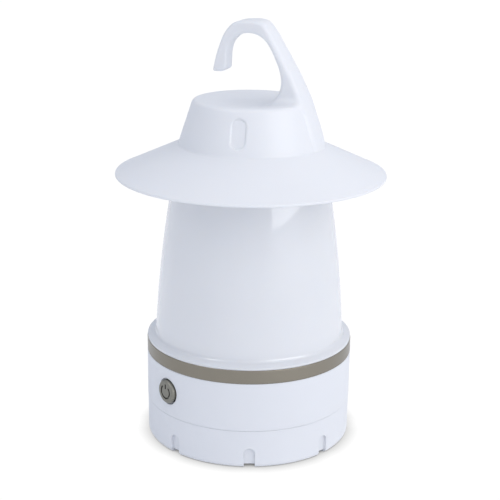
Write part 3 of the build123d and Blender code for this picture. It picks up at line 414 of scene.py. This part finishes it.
def field_axis(low, high):
    return np.arange(low, high + CELL, CELL)


def sampled_field():
    """The field on a grid over the hat. Far from the hat it holds a plain positive value."""
    xs = ys = field_axis(-FIELD_REACH, FIELD_REACH)
    zs = field_axis(*FIELD_HEIGHTS)
    outside = 9.0
    field = np.full((len(xs), len(ys), len(zs)), outside, np.float32)
    for reach, low, high in FIELD_BANDS:
        i, j = np.nonzero(np.abs(xs) < reach)[0], np.nonzero(np.abs(ys) < reach)[0]
        k = np.nonzero((zs > low) & (zs <= high))[0]
        for level in k:
            x, y = np.meshgrid(xs[i], ys[j], indexing="ij")
            field[i[0]:i[-1] + 1, j[0]:j[-1] + 1, level] = hat_distance(x, y, np.full(x.shape, zs[level]))
    return xs, ys, zs, field


def surface_cells(inside):
    """The cells that the surface crosses, and the quads that join them round each crossed edge."""
    corners = [inside[i:i - 1 or None, j:j - 1 or None, k:k - 1 or None]
               for i in (0, 1) for j in (0, 1) for k in (0, 1)]
    count = sum(c.astype(np.int8) for c in corners)
    crossed = (count > 0) & (count < 8)
    index = np.full(crossed.shape, -1)
    index[crossed] = np.arange(crossed.sum())
    quads = []
    for axis in range(3):
        first = np.moveaxis(inside, axis, 0)
        order = np.moveaxis(index, axis, 0)
        change = first[1:, 1:-1, 1:-1].astype(np.int8) - first[:-1, 1:-1, 1:-1]
        for sign in (1, -1):
            a, b, c = np.nonzero(change == sign)
            ring = [order[a, b, c], order[a, b + 1, c], order[a, b + 1, c + 1], order[a, b, c + 1]]
            quads.append(np.stack(ring if (sign == -1) != (axis == 1) else ring[::-1], axis=1))
    return np.argwhere(crossed), np.concatenate(quads)


def settle(points):
    """Moves points along the field's slope on to the surface."""
    step = 0.04
    flattest = 0.2
    for _ in range(2):
        value = hat_distance(*points.T)
        slope = np.stack([(hat_distance(*(points + step * axis).T) - hat_distance(*(points - step * axis).T))
                          / (2 * step) for axis in np.eye(3)], axis=1)
        steep = np.maximum((slope**2).sum(axis=1), flattest)
        points = points - np.clip(value / steep, -CELL, CELL)[:, None] * slope
    return points


def relaxed(points, quads):
    """Each point halfway to the mean of its neighbours."""
    total = np.zeros_like(points)
    for near, far in ((0, 1), (1, 2), (2, 3), (3, 0)):
        for a, b in ((near, far), (far, near)):
            for i in range(3):
                total[:, i] += np.bincount(quads[:, a], points[quads[:, b], i], len(points))
    links = 2 * np.bincount(quads.ravel(), minlength=len(points))
    return 0.5 * points + 0.5 * total / links[:, None]


def hat_surface():
    """The hat's points and quads, evened out over its surface."""
    xs, ys, zs, field = sampled_field()
    cells, quads = surface_cells(field < 0)
    points = np.array([xs[0], ys[0], zs[0]]) + (cells + 0.5) * CELL
    points = settle(points)
    for _ in range(RELAX_ROUNDS):
        points = settle(relaxed(points, quads))
    return points, quads


def mesh_piece(name, points_mm, faces, material):
    """A smooth mesh object from points in millimetres and faces of equal size."""
    mesh = bpy.data.meshes.new(name)
    corners = faces.shape[1]
    mesh.vertices.add(len(points_mm))
    mesh.vertices.foreach_set("co", (points_mm * MM).astype(np.float32).ravel())
    mesh.loops.add(faces.size)
    mesh.loops.foreach_set("vertex_index", faces.astype(np.int32).ravel())
    mesh.polygons.add(len(faces))
    mesh.polygons.foreach_set("loop_start", np.arange(0, faces.size, corners, dtype=np.int32))
    mesh.polygons.foreach_set("use_smooth", np.full(len(faces), True))
    mesh.update(calc_edges=True)
    mesh.validate()
    mesh.materials.append(material)
    obj = bpy.data.objects.new(name, mesh)
    bpy.context.scene.collection.objects.link(obj)
    return obj


def field_normals(points, step=0.2):
    """Unit normals of the hat's surface, from the slope of its distance field."""
    slopes = []
    for axis in range(3):
        shift = np.zeros(3)
        shift[axis] = step
        slopes.append(hat_distance(*(points + shift).T) - hat_distance(*(points - shift).T))
    normals = np.stack(slopes, axis=1)
    return normals / np.linalg.norm(normals, axis=1, keepdims=True)


hat_points, hat_faces = hat_surface()
hat = mesh_piece("hat", hat_points, hat_faces, MATERIALS["hat_white"])
hat.data.normals_split_custom_set_from_vertices(field_normals(hat_points))
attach(hat, "lamp")
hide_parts("shade_hat")


# ------------------------------------------------------------------ the button's return spring
BUTTON_AZIMUTH = math.radians(-121.8)
BUTTON_Z = 28.6
SPRING_FROM = 38.8          # distances from the lamp's axis
SPRING_TO = 42.4
SPRING_R = 2.9
SPRING_WIRE_R = 0.22
SPRING_TURNS = 5.0          # with one closed turn at each end


def spring_rise(turn):
    """How far along the spring's length its wire has come after a number of turns, from 0 to 1."""
    closed = 2 * SPRING_WIRE_R / (SPRING_TO - SPRING_FROM - 2 * SPRING_WIRE_R)
    ends = min(turn, 1.0) + max(turn - SPRING_TURNS + 1.0, 0.0)
    open_turns = min(max(turn - 1.0, 0.0), SPRING_TURNS - 2.0)
    return closed * ends + (1 - 2 * closed) * open_turns / (SPRING_TURNS - 2.0)


def spring_surface(steps_per_turn=40, sides=10):
    """A round wire wound along the button's axis, as points in millimetres and quads."""
    out = Vector((math.cos(BUTTON_AZIMUTH), math.sin(BUTTON_AZIMUTH), 0))
    side = Vector((-out.y, out.x, 0))
    count = int(SPRING_TURNS * steps_per_turn) + 1
    length = SPRING_TO - SPRING_FROM - 2 * SPRING_WIRE_R
    points = []
    for step in range(count):
        turn = step / steps_per_turn
        angle = 2 * math.pi * turn
        radial = side * math.cos(angle) + Vector((0, 0, 1)) * math.sin(angle)
        s = SPRING_FROM + SPRING_WIRE_R + length * spring_rise(turn)
        centre = out * s + radial * SPRING_R + Vector((0, 0, BUTTON_Z))
        for k in range(sides):
            around = 2 * math.pi * k / sides
            points.append(centre + (radial * math.cos(around) + out * math.sin(around)) * SPRING_WIRE_R)
    faces = []
    for step in range(count - 1):
        for k in range(sides):
            a = step * sides + k
            b = step * sides + (k + 1) % sides
            faces.append((a, b, b + sides, a + sides))
    return np.array(points), np.array(faces), out


spring_points, spring_faces, button_out = spring_surface()
spring = mesh_piece("return_spring", spring_points, spring_faces, MATERIALS["contact_nickel"])
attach(spring, "lamp")
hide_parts("button_spring")
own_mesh(spring)


def dress_cad_nodes():
    """Gives every carried-over CAD node its slot's material."""
    slots = {row["node"]: row["material_slot"] for row in frame["record"]["subparts"]}
    for name, piece in NODES.items():
        material = MATERIALS[slots[name]]
        for slot in piece.material_slots:
            slot.material = material
        if not piece.material_slots:
            piece.data.materials.append(material)


dress_cad_nodes()


# ------------------------------------------------------------------ floor, light and camera
FLOOR_R = 6.0
FLOOR_Z = -0.02 * MM        # just clear of the rim that stands on it
FLOOR_OPENING_R = 0.0413    # hidden by the rim that the lantern stands on
FLOOR_SIDES = 96
FLOOR_PALE = 0.97           # what it gives back of the light that falls on it
FLOOR_GLOW = 1.03           # how bright it looks to the camera
TOUCHING = 0.1 * MM         # light passes the floor this close under the rim, which keeps the rim lit
CONTACT_SHADOW_SAMPLES = 24
CONTACT_SHADOW_REACH = 0.007       # how far the painted contact shadow under the lantern spreads over the floor
CONTACT_SHADOW_FADE = 0.52         # the lower, the nearer that painted shadow keeps to the lantern


def floor():
    """A wide pale floor, white to the camera but for a painted contact shadow round what stands on it.

    It is open under the lantern, where the battery cover comes down, and can't be seen from below.
    """
    mesh = bpy.data.meshes.new("floor")
    turns = [2 * math.pi * i / FLOOR_SIDES for i in range(FLOOR_SIDES)]
    corners = [(r * math.cos(a), r * math.sin(a), FLOOR_Z) for r in (FLOOR_OPENING_R, FLOOR_R) for a in turns]
    following = [(i + 1) % FLOOR_SIDES for i in range(FLOOR_SIDES)]
    quads = [(i, i + FLOOR_SIDES, j + FLOOR_SIDES, j) for i, j in enumerate(following)]
    mesh.from_pydata(corners, [], quads)
    obj = bpy.data.objects.new("floor", mesh)
    bpy.context.scene.collection.objects.link(obj)
    material, tree, shader = new_material("floor_paper")
    seen = tree.nodes.new("ShaderNodeLightPath").outputs["Is Camera Ray"]
    tree.links.new(mix_colours(tree, seen, (FLOOR_PALE,) * 3, (0, 0, 0)), shader.inputs["Base Color"])
    shader.inputs["Roughness"].default_value = 0.9
    shader.inputs["Specular IOR Level"].default_value = 0.0
    shader.inputs["Emission Color"].default_value = (1, 1, 1, 1)
    # painted shadow: to the camera the floor's glow is dimmed where it lies close under the lantern
    openness = tree.nodes.new("ShaderNodeAmbientOcclusion")
    openness.samples = CONTACT_SHADOW_SAMPLES
    openness.inputs["Distance"].default_value = CONTACT_SHADOW_REACH
    shadow_falloff = tree.nodes.new("ShaderNodeMath")
    shadow_falloff.operation = "POWER"
    tree.links.new(openness.outputs["AO"], shadow_falloff.inputs[0])
    shadow_falloff.inputs[1].default_value = CONTACT_SHADOW_FADE
    glow = tree.nodes.new("ShaderNodeMath")
    glow.operation = "MULTIPLY"
    tree.links.new(seen, glow.inputs[0])
    tree.links.new(ramp(tree, shadow_falloff.outputs[0], 0.0, 1.0, 0.0, FLOOR_GLOW), glow.inputs[1])
    tree.links.new(glow.outputs[0], shader.inputs["Emission Strength"])
    from_below = tree.nodes.new("ShaderNodeNewGeometry").outputs["Backfacing"]
    touching = tree.nodes.new("ShaderNodeMath")
    touching.operation = "LESS_THAN"
    tree.links.new(tree.nodes.new("ShaderNodeLightPath").outputs["Ray Length"], touching.inputs[0])
    touching.inputs[1].default_value = TOUCHING
    either = tree.nodes.new("ShaderNodeMath")
    either.operation = "MAXIMUM"
    tree.links.new(from_below, either.inputs[0])
    tree.links.new(touching.outputs[0], either.inputs[1])
    one_sided = tree.nodes.new("ShaderNodeMixShader")
    tree.links.new(either.outputs[0], one_sided.inputs[0])
    tree.links.new(shader.outputs[0], one_sided.inputs[1])
    tree.links.new(tree.nodes.new("ShaderNodeBsdfTransparent").outputs[0], one_sided.inputs[2])
    tree.links.new(one_sided.outputs[0], tree.nodes["Material Output"].inputs["Surface"])
    mesh.materials.append(material)


LANTERN_MIDDLE_Z = 0.09


def softbox(name, azimuth, elevation, distance, width, height, power):
    """A rectangular lamp facing the lantern. Azimuth turns from the camera's side towards its right."""
    lamp = bpy.data.lights.new(name, "AREA")
    lamp.shape = "RECTANGLE"
    lamp.size = width
    lamp.size_y = height
    lamp.energy = power
    obj = bpy.data.objects.new(name, lamp)
    turn = math.radians(azimuth + CAMERA_AZIMUTH)
    rise = math.radians(elevation)
    away = Vector((math.sin(turn) * math.cos(rise), -math.cos(turn) * math.cos(rise), math.sin(rise)))
    target = Vector((0, 0, LANTERN_MIDDLE_Z))
    obj.location = target + away * distance
    obj.rotation_mode = "QUATERNION"
    obj.rotation_quaternion = (-away).to_track_quat("-Z", "Y")
    bpy.context.scene.collection.objects.link(obj)
    return obj


BRIGHT_SIDE = 60.0          # the studio is brightest this far to the camera's right
BRIGHT_SIDEWAYS = 0.8       # how strongly its light leans to that side, and upwards
BRIGHT_UPWARDS = 1.05
BRIGHT_SPREAD = 1.2


def surroundings(seen, lighting, lean, colours):
    """A white studio that the camera sees at one brightness and that lights the lantern at another.

    Its light is strongest from the bright side and above, by lean, and its colours run from the dark side's
    to the bright side's.
    """
    world = bpy.data.worlds.new("studio")
    world.use_nodes = True
    tree = world.node_tree
    background = tree.nodes["Background"]
    turn = math.radians(CAMERA_AZIMUTH + BRIGHT_SIDE)
    brightest = (BRIGHT_SIDEWAYS * math.sin(turn), -BRIGHT_SIDEWAYS * math.cos(turn), BRIGHT_UPWARDS)
    towards = tree.nodes.new("ShaderNodeVectorMath")
    towards.operation = "DOT_PRODUCT"
    tree.links.new(tree.nodes.new("ShaderNodeTexCoord").outputs["Generated"], towards.inputs[0])
    towards.inputs[1].default_value = brightest
    share = ramp(tree, towards.outputs["Value"], -BRIGHT_SPREAD, BRIGHT_SPREAD, 0.0, 1.0)
    light = ramp(tree, share, 0.0, 1.0, lighting * (1 - lean), lighting * (1 + lean))
    path = tree.nodes.new("ShaderNodeLightPath")
    strength = tree.nodes.new("ShaderNodeMix")
    tree.links.new(path.outputs["Is Camera Ray"], strength.inputs["Factor"])
    tree.links.new(light, strength.inputs[2])
    strength.inputs[3].default_value = seen
    tree.links.new(strength.outputs[0], background.inputs["Strength"])
    unseen = tree.nodes.new("ShaderNodeMix")
    unseen.data_type = "RGBA"
    tree.links.new(path.outputs["Is Camera Ray"], unseen.inputs["Factor"])
    tree.links.new(mix_colours(tree, share, *colours), unseen.inputs[6])
    unseen.inputs[7].default_value = (1, 1, 1, 1)
    tree.links.new(unseen.outputs[2], background.inputs["Color"])
    bpy.context.scene.world = world


# The camera stands at this azimuth, measured from -Y towards +X, and looks slightly down.
CAMERA_AZIMUTH = 18.0
CAMERA_DISTANCE = 0.5336
CAMERA_HEIGHT = 0.24695
CAMERA_PITCH = 16.87
CAMERA_ROLL = 0.698
CAMERA_LENS = 88.88


def camera():
    data = bpy.data.cameras.new("camera")
    data.lens = CAMERA_LENS
    data.sensor_width = 36.0
    obj = bpy.data.objects.new("camera", data)
    turn = Matrix.Rotation(math.radians(CAMERA_AZIMUTH), 4, "Z")
    place = Matrix.Translation((0, -CAMERA_DISTANCE, CAMERA_HEIGHT))
    aim = Matrix.Rotation(math.radians(90 - CAMERA_PITCH), 4, "X")
    roll = Matrix.Rotation(math.radians(CAMERA_ROLL), 4, "Z")
    obj.matrix_world = turn @ place @ aim @ roll
    bpy.context.scene.collection.objects.link(obj)
    bpy.context.scene.camera = obj


floor()
surroundings(seen=1.02, lighting=0.66, lean=0.54,
             colours=((0.885, 0.99, 1.18), (1.0, 1.01, 1.06)))
softbox("key", 54, 28, 1.3, 0.98, 1.1, 2.45)

# These two are seen in glossy surfaces only.
gloss_right = softbox("gloss", 50, 13.7, 1.33, 1.05, 0.56, 5.0)
gloss_left = softbox("gloss_left", -50, 45, 1.3, 0.42, 0.55, 3.4)
for gloss in (gloss_right, gloss_left):
    gloss.visible_diffuse = False
    gloss.visible_transmission = False
camera()
bpy.context.scene.view_settings.view_transform = "Standard"
